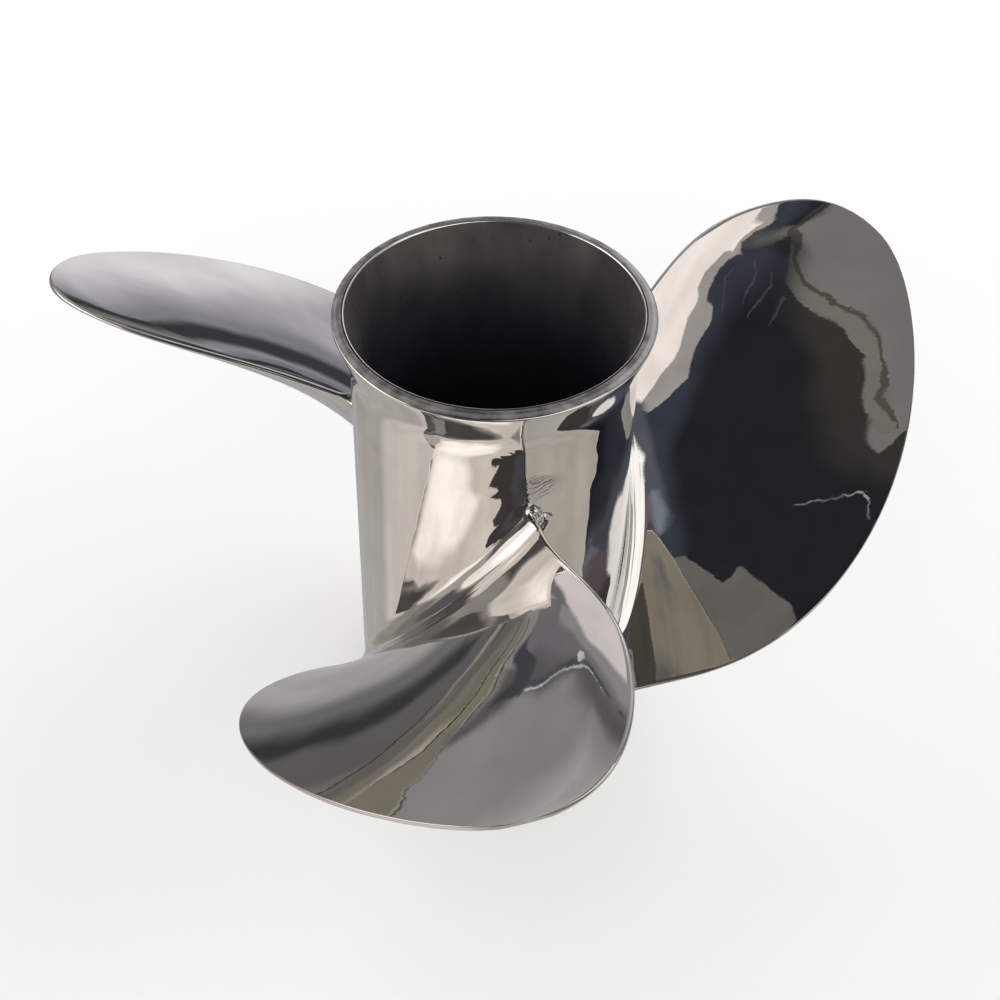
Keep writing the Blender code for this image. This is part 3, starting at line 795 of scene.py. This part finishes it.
def between(tree, value, low, high, to_low=0.0, to_high=1.0):
    """Smooth step of a value from low to high."""
    inputs = {"Value": value, "From Min": low, "From Max": high, "To Min": to_low, "To Max": to_high}
    return node(tree, "MapRange", inputs, interpolation_type="SMOOTHSTEP")


def noise_at(tree, place, scale, detail=2.0, output="Fac"):
    """Smooth noise at a place, with this many waves to a unit of length."""
    return node(tree, "TexNoise", {"Vector": place, "Scale": scale, "Detail": detail}, output)


def new_material(name):
    """A material with its node tree, its shader and the place on the piece."""
    material = bpy.data.materials.new(name)
    material.use_nodes = True
    tree = material.node_tree
    shader = tree.nodes["Principled BSDF"]
    place = node(tree, "TexCoord", output="Object")
    return material, tree, shader, place


def add_bump(tree, shader, *layers):
    """Chain bump layers, each a (height, metres) pair, into the shader's normal."""
    normal = None
    for height, distance in layers:
        inputs = {"Height": height, "Distance": distance}
        if normal:
            inputs["Normal"] = normal
        normal = node(tree, "Bump", inputs)
    tree.links.new(normal, shader.inputs["Normal"])


def stretched(tree, place, scale):
    """A place with each of its coordinates scaled."""
    return node(tree, "VectorMath", {0: place, 1: scale}, operation="MULTIPLY")


def facing(tree, way, direction):
    """How far one way looks along another: their dot product."""
    return node(tree, "VectorMath", {0: way, 1: direction}, "Value", operation="DOT_PRODUCT")


def distance_from_axis(tree, place):
    flat = stretched(tree, place, (1.0, 1.0, 0.0))
    return node(tree, "VectorMath", {0: flat}, "Value", operation="LENGTH")


def wrinkles(tree, place):
    """Height of the fine slanting wrinkles on the barrel beside the weld beads."""
    x, y, z = (node(tree, "SeparateXYZ", {0: place}, axis) for axis in "XYZ")
    third = 2 * math.pi / BLADE_COUNT
    first = math.radians(FIRST_TIP_ANGLE + WRINKLE_ANGLE)
    angle = calculate(tree, "ADD", calculate(tree, "ARCTAN2", y, x), third / 2 - first + 2 * math.pi)
    around = calculate(tree, "SUBTRACT", calculate(tree, "MODULO", angle, third), third / 2)
    around = calculate(tree, "MULTIPLY", around, BARREL_RADIUS)
    up = calculate(tree, "SUBTRACT", z, BARREL_LENGTH - WRINKLE_DROP)
    spot = node(tree, "CombineXYZ", {"X": around, "Y": up})
    away = node(tree, "VectorMath", {0: spot}, "Value", operation="LENGTH")
    turned_spot = node(tree, "VectorRotate", {"Vector": spot, "Angle": math.radians(-WRINKLE_SLOPE)},
                       rotation_type="Z_AXIS")
    ridges = noise_at(tree, stretched(tree, turned_spot, WRINKLE_STRETCH), WRINKLE_SCALE)
    radius = distance_from_axis(tree, place)
    on_barrel = calculate(tree, "LESS_THAN", radius, BARREL_RADIUS + WRINKLE_MARGIN)
    near = between(tree, away, WRINKLE_CORE * WRINKLE_REACH, WRINKLE_REACH, 1.0, 0.0)
    return calculate(tree, "MULTIPLY", ridges, calculate(tree, "MULTIPLY", near, on_barrel))


def polished_material():
    """Mirror-polished stainless steel with faint clouding and hair-fine polishing marks."""
    material, tree, shader, place = new_material("polished_steel")
    shader.inputs["Metallic"].default_value = 1.0
    cloud = noise_at(tree, place, 40.0, 3.0)
    colour = mix_colours(tree, between(tree, cloud, 0.3, 0.7), (0.61, 0.595, 0.575), (0.66, 0.65, 0.63))
    tree.links.new(colour, shader.inputs["Base Color"])
    smear = noise_at(tree, place, 90.0, 4.0)
    tree.links.new(between(tree, smear, 0.35, 0.8, 0.008, 0.045), shader.inputs["Roughness"])
    marks = noise_at(tree, stretched(tree, place, (1.0, 1.0, 4.0)), 380.0, 2.0)
    add_bump(tree, shader, (noise_at(tree, place, 150.0, 2.0), 0.00001), (marks, 0.000002),
             (wrinkles(tree, place), WRINKLE_HEIGHT))
    return material


def satin_material():
    """The lip's face, left satin and mottled, with painted shade darkening its inner part and a painted
    sheen paling it towards its outer edge.
    """
    material, tree, shader, place = new_material("satin_steel")
    shader.inputs["Metallic"].default_value = 1.0
    radius = distance_from_axis(tree, place)
    cloud = noise_at(tree, place, 200.0, 4.0)
    mottle = between(tree, cloud, 0.35, 0.65)
    # Darker inner colours are painted shade and paler outer ones a painted sheen; the mottle within each
    # pair is the satin's own tone.
    inside = mix_colours(tree, mottle, (0.17, 0.165, 0.155), (0.36, 0.35, 0.33))
    mottle = between(tree, cloud, 0.3, 0.7)
    outside = mix_colours(tree, mottle, (0.44, 0.43, 0.41), (0.62, 0.605, 0.58))
    painted_sheen_share = between(tree, radius, *(MOUTH_RADIUS + out for out in SATIN_PAINTED_SHEEN))
    tree.links.new(mix_colours(tree, painted_sheen_share, inside, outside), shader.inputs["Base Color"])
    tree.links.new(between(tree, cloud, 0.3, 0.7, 0.22, 0.40), shader.inputs["Roughness"])
    add_bump(tree, shader, (noise_at(tree, place, 1800.0, 2.0), 0.00002))
    return material


def painted_highlight_material():
    """The lip's inner edge: a painted highlight makes its colour brighter than the rest, mottled, and it
    is no longer quite a mirror.
    """
    material, tree, shader, place = new_material("edge_with_painted_highlight")
    shader.inputs["Metallic"].default_value = 1.0
    edge_mottle = noise_at(tree, place, 120.0, 3.0)
    # Colours near white are a painted highlight along the edge; the mottle between them is random tone.
    colour = mix_colours(tree, between(tree, edge_mottle, 0.35, 0.65), (0.80, 0.78, 0.76), (0.97, 0.96, 0.94))
    tree.links.new(colour, shader.inputs["Base Color"])
    tree.links.new(between(tree, edge_mottle, 0.35, 0.7, 0.16, 0.08), shader.inputs["Roughness"])
    add_bump(tree, shader, (noise_at(tree, place, 900.0, 2.0), 0.00001))
    return material


def cast_material():
    """Stainless steel left as cast: dark, matt and clouded, with painted shade making it darker and bluer
    further down the bore.
    """
    material, tree, shader, place = new_material("cast_steel")
    shader.inputs["Metallic"].default_value = 0.35
    height = node(tree, "SeparateXYZ", {0: place}, "Z")
    blotch = noise_at(tree, stretched(tree, place, (1.0, 1.0, 0.6)), 45.0, 4.0)
    shade = between(tree, blotch, 0.3, 0.75)
    unshaded_colour = mix_colours(tree, shade, (0.036, 0.032, 0.029), (0.088, 0.078, 0.069))
    # Darker, bluer colours lower down are painted shade deep in the bore; the upper ones are the cast
    # steel's own tone.
    painted_shade_colour = mix_colours(tree, shade, (0.028, 0.030, 0.039), (0.050, 0.053, 0.064))
    wander = calculate(tree, "MULTIPLY_ADD", blotch, PAINTED_SHADE_WANDER, height)
    colour = mix_colours(tree, between(tree, wander, *PAINTED_SHADE_HEIGHTS), painted_shade_colour, unshaded_colour)
    specks = node(tree, "TexVoronoi", {"Vector": place, "Scale": 150.0}, "Distance")
    colour = mix_colours(tree, between(tree, specks, 0.05, 0.12), (0.015, 0.014, 0.013), colour)
    tree.links.new(colour, shader.inputs["Base Color"])
    tree.links.new(between(tree, blotch, 0.3, 0.7, 0.60, 0.46), shader.inputs["Roughness"])
    grain = noise_at(tree, place, 900.0, 3.0)
    add_bump(tree, shader, (noise_at(tree, place, 180.0, 3.0), 0.0003), (grain, 0.00008))
    return material


def rubber_material():
    """Black moulded rubber, dusty in places."""
    material, tree, shader, place = new_material("rubber")
    dust = noise_at(tree, place, 70.0, 4.0)
    share = between(tree, dust, 0.45, 0.8)
    colour = mix_colours(tree, share, (0.014, 0.014, 0.014), (0.045, 0.043, 0.040))
    tree.links.new(colour, shader.inputs["Base Color"])
    tree.links.new(between(tree, dust, 0.4, 0.8, 0.52, 0.78), shader.inputs["Roughness"])
    add_bump(tree, shader, (noise_at(tree, place, 700.0, 3.0), 0.00006))
    return material


def brass_material():
    """Broached brass: tarnished in clouds, with cutting marks along the splines."""
    material, tree, shader, place = new_material("brass")
    shader.inputs["Metallic"].default_value = 1.0
    tarnish = noise_at(tree, place, 90.0, 4.0)
    colour = mix_colours(tree, between(tree, tarnish, 0.35, 0.75), (0.72, 0.52, 0.24), (0.40, 0.27, 0.12))
    tree.links.new(colour, shader.inputs["Base Color"])
    tree.links.new(between(tree, tarnish, 0.3, 0.8, 0.20, 0.42), shader.inputs["Roughness"])
    marks = noise_at(tree, stretched(tree, place, (1.0, 1.0, 0.04)), 1400.0, 2.0)
    add_bump(tree, shader, (marks, 0.00003))
    return material


def set_camera():
    """Camera fitted to the photo, turned by its yaw, its pitch and a slight roll."""
    data = bpy.data.cameras.new("camera")
    data.sensor_width = SENSOR_WIDTH
    data.lens = FOCAL_LENGTH * SENSOR_WIDTH
    data.clip_start = NEAREST_SEEN
    camera = bpy.data.objects.new("camera", data)
    bpy.context.scene.collection.objects.link(camera)
    level = math.cos(CAMERA_PITCH)
    ahead = (math.sin(CAMERA_YAW) * level, math.cos(CAMERA_YAW) * level, -math.sin(CAMERA_PITCH))
    forward = Vector(ahead)
    right = Vector((math.cos(CAMERA_YAW), -math.sin(CAMERA_YAW), 0.0))
    up = right.cross(forward)
    right_rolled = right * math.cos(CAMERA_ROLL) + up * math.sin(CAMERA_ROLL)
    up_rolled = up * math.cos(CAMERA_ROLL) - right * math.sin(CAMERA_ROLL)
    turn = Matrix((right_rolled, up_rolled, -forward)).transposed().to_4x4()
    place = Matrix.Translation((0.0, -CAMERA_DISTANCE, BARREL_LENGTH + CAMERA_ABOVE))
    camera.matrix_world = place @ turn
    bpy.context.scene.camera = camera


def edge_curve(tree, place, first, last, edge):
    """Edge of a patch as a curve: straight runs between its points, with both scales from 0 to 1."""
    made = tree.nodes.new("ShaderNodeFloatCurve")
    made.mapping.clip_min_x, made.mapping.clip_max_x = 0.0, 1.0
    curve = made.mapping.curves[0]
    spots = [((along - first) / (last - first), across) for along, across in sorted(edge)]
    while len(curve.points) < len(spots):
        curve.points.new(0.5, 0.5)
    for point, spot in zip(curve.points, spots):
        point.location = spot
    for point in curve.points:
        point.handle_type = "VECTOR"
    made.mapping.update()
    tree.links.new(place, made.inputs["Value"])
    return made.outputs[0]


def patch_share(tree, along, across, span, softness, lower, upper):
    """1 between a patch's two edges, 0 outside them; the span is the degrees that 1 across stands for."""
    lower = [(spot, value / span + 0.5) for spot, value in lower]
    upper = [(spot, value / span + 0.5) for spot, value in upper]
    soft = softness / span
    first = min(lower + upper)[0] - 2 * softness
    last = max(lower + upper)[0] + 2 * softness
    for k, end in ((0, first), (-1, last)):
        middle = (lower[k][1] + upper[k][1]) / 2
        lower.append((end, middle + soft))
        upper.append((end, middle - soft))
        lower.sort()
        upper.sort()
    place = node(tree, "MapRange", {"Value": along, "From Min": first, "From Max": last})
    above = calculate(tree, "SUBTRACT", across, edge_curve(tree, place, first, last, lower))
    below = calculate(tree, "SUBTRACT", edge_curve(tree, place, first, last, upper), across)
    return between(tree, calculate(tree, "MINIMUM", above, below), -soft, soft)


def reflected_studio(tree, place):
    """What the polished steel reflects: ground, wall and upper wall, with the patches over them."""
    wobble = noise_at(tree, place, WARP_SCALE, 1.0, "Color")
    wobble = node(tree, "VectorMath", {0: wobble, 1: (0.5, 0.5, 0.5)}, operation="SUBTRACT")
    wobble = node(tree, "VectorMath", {0: wobble, "Scale": WARP_SIZE}, operation="SCALE")
    warped = node(tree, "VectorMath", {0: place, 1: wobble}, operation="ADD")
    warped = node(tree, "VectorMath", {0: warped}, operation="NORMALIZE")
    parts = tree.nodes.new("ShaderNodeSeparateXYZ")
    tree.links.new(warped, parts.inputs[0])
    front = calculate(tree, "MULTIPLY", parts.outputs["Y"], -1.0)
    azimuth = calculate(tree, "DEGREES", calculate(tree, "ARCTAN2", parts.outputs["X"], front))
    elevation = calculate(tree, "DEGREES", calculate(tree, "ARCSINE", parts.outputs["Z"]))
    azimuth_share = calculate(tree, "MULTIPLY_ADD", azimuth, 1 / AZIMUTH_SPAN, 0.5)
    elevation_share = calculate(tree, "MULTIPLY_ADD", elevation, 1 / ELEVATION_SPAN, 0.5)
    colour = mix_colours(tree, between(tree, elevation, *GROUND_FADE), GROUND_COLOUR, WALL_COLOUR)
    colour = mix_colours(tree, between(tree, elevation, *UPPER_FADE), colour, UPPER_COLOUR)
    for name, patch_colour, softness, given_along, lower, upper in PATCHES:
        if given_along == "azimuth":
            along, across, span = azimuth, elevation_share, ELEVATION_SPAN
        else:
            along, across, span = elevation, azimuth_share, AZIMUTH_SPAN
        share = patch_share(tree, along, across, span, softness, lower, upper)
        share.node.label = name
        colour = mix_colours(tree, share, colour, patch_colour)
    cloud = noise_at(tree, place, CLOUD_SCALE, 2.0)
    strength = between(tree, cloud, 0.3, 0.7, 1.0 - CLOUD_DEPTH, 1.0 + CLOUD_DEPTH)
    return node(tree, "Background", {"Color": colour, "Strength": strength})


def soft_light(tree, place):
    """Plain soft light on everything, which glossy reflections don't see."""
    low = between(tree, facing(tree, place, (0.0, 0.0, 1.0)), *LOW_FADE, 1.0, 0.0)
    behind = between(tree, facing(tree, place, BACK_DIRECTION), *BACK_FADE, 0.0, BACK_LIGHT)
    strength = calculate(tree, "MULTIPLY", low, calculate(tree, "ADD", behind, LOW_LIGHT))
    strength = calculate(tree, "ADD", strength, OVERHEAD_LIGHT)
    return node(tree, "Background", {"Color": LIGHT_COLOUR, "Strength": strength})


def set_world():
    """Studio round the propeller: what lights it, and what its polished steel reflects."""
    world = bpy.data.worlds.new("studio")
    bpy.context.scene.world = world
    world.use_nodes = True
    tree = world.node_tree
    place = node(tree, "TexCoord", output="Generated")
    reflected = reflected_studio(tree, place)
    soft = soft_light(tree, place)
    mirrored = node(tree, "LightPath", output="Is Glossy Ray")
    studio = node(tree, "MixShader", {0: mirrored, 1: soft, 2: reflected})
    tree.links.new(studio, tree.nodes["World Output"].inputs["Surface"])
    bpy.context.scene.view_settings.view_transform = "Standard"


def floor():
    """Plain pale floor; the steel reflects the studio's own ground instead of it."""
    material, tree, shader, place = new_material("floor")
    speckle = noise_at(tree, place, 3.0, 2.0)
    colour = mix_colours(tree, speckle, *FLOOR_COLOURS)
    tree.links.new(colour, shader.inputs["Base Color"])
    shader.inputs["Roughness"].default_value = 0.9
    mesh = bpy.data.meshes.new("floor")
    signs = ((-1, -1), (1, -1), (1, 1), (-1, 1))
    corners = [(x * FLOOR_REACH, y * FLOOR_REACH, 0.0) for x, y in signs]
    mesh.from_pydata(corners, [], [(0, 1, 2, 3)])
    mesh.materials.append(material)
    piece = bpy.data.objects.new("floor", mesh)
    piece.visible_glossy = False
    bpy.context.scene.collection.objects.link(piece)


def main():
    polished = polished_material()
    satin = satin_material()
    cast = cast_material()
    barrel_shell(polished, satin, cast, painted_highlight_material())
    blades(polished)
    weld_beads(polished, cast)
    inner_hub(cast)
    ribs(cast)
    rubber_bush(rubber_material())
    spline_sleeve(brass_material())
    set_camera()
    set_world()
    floor()


main()
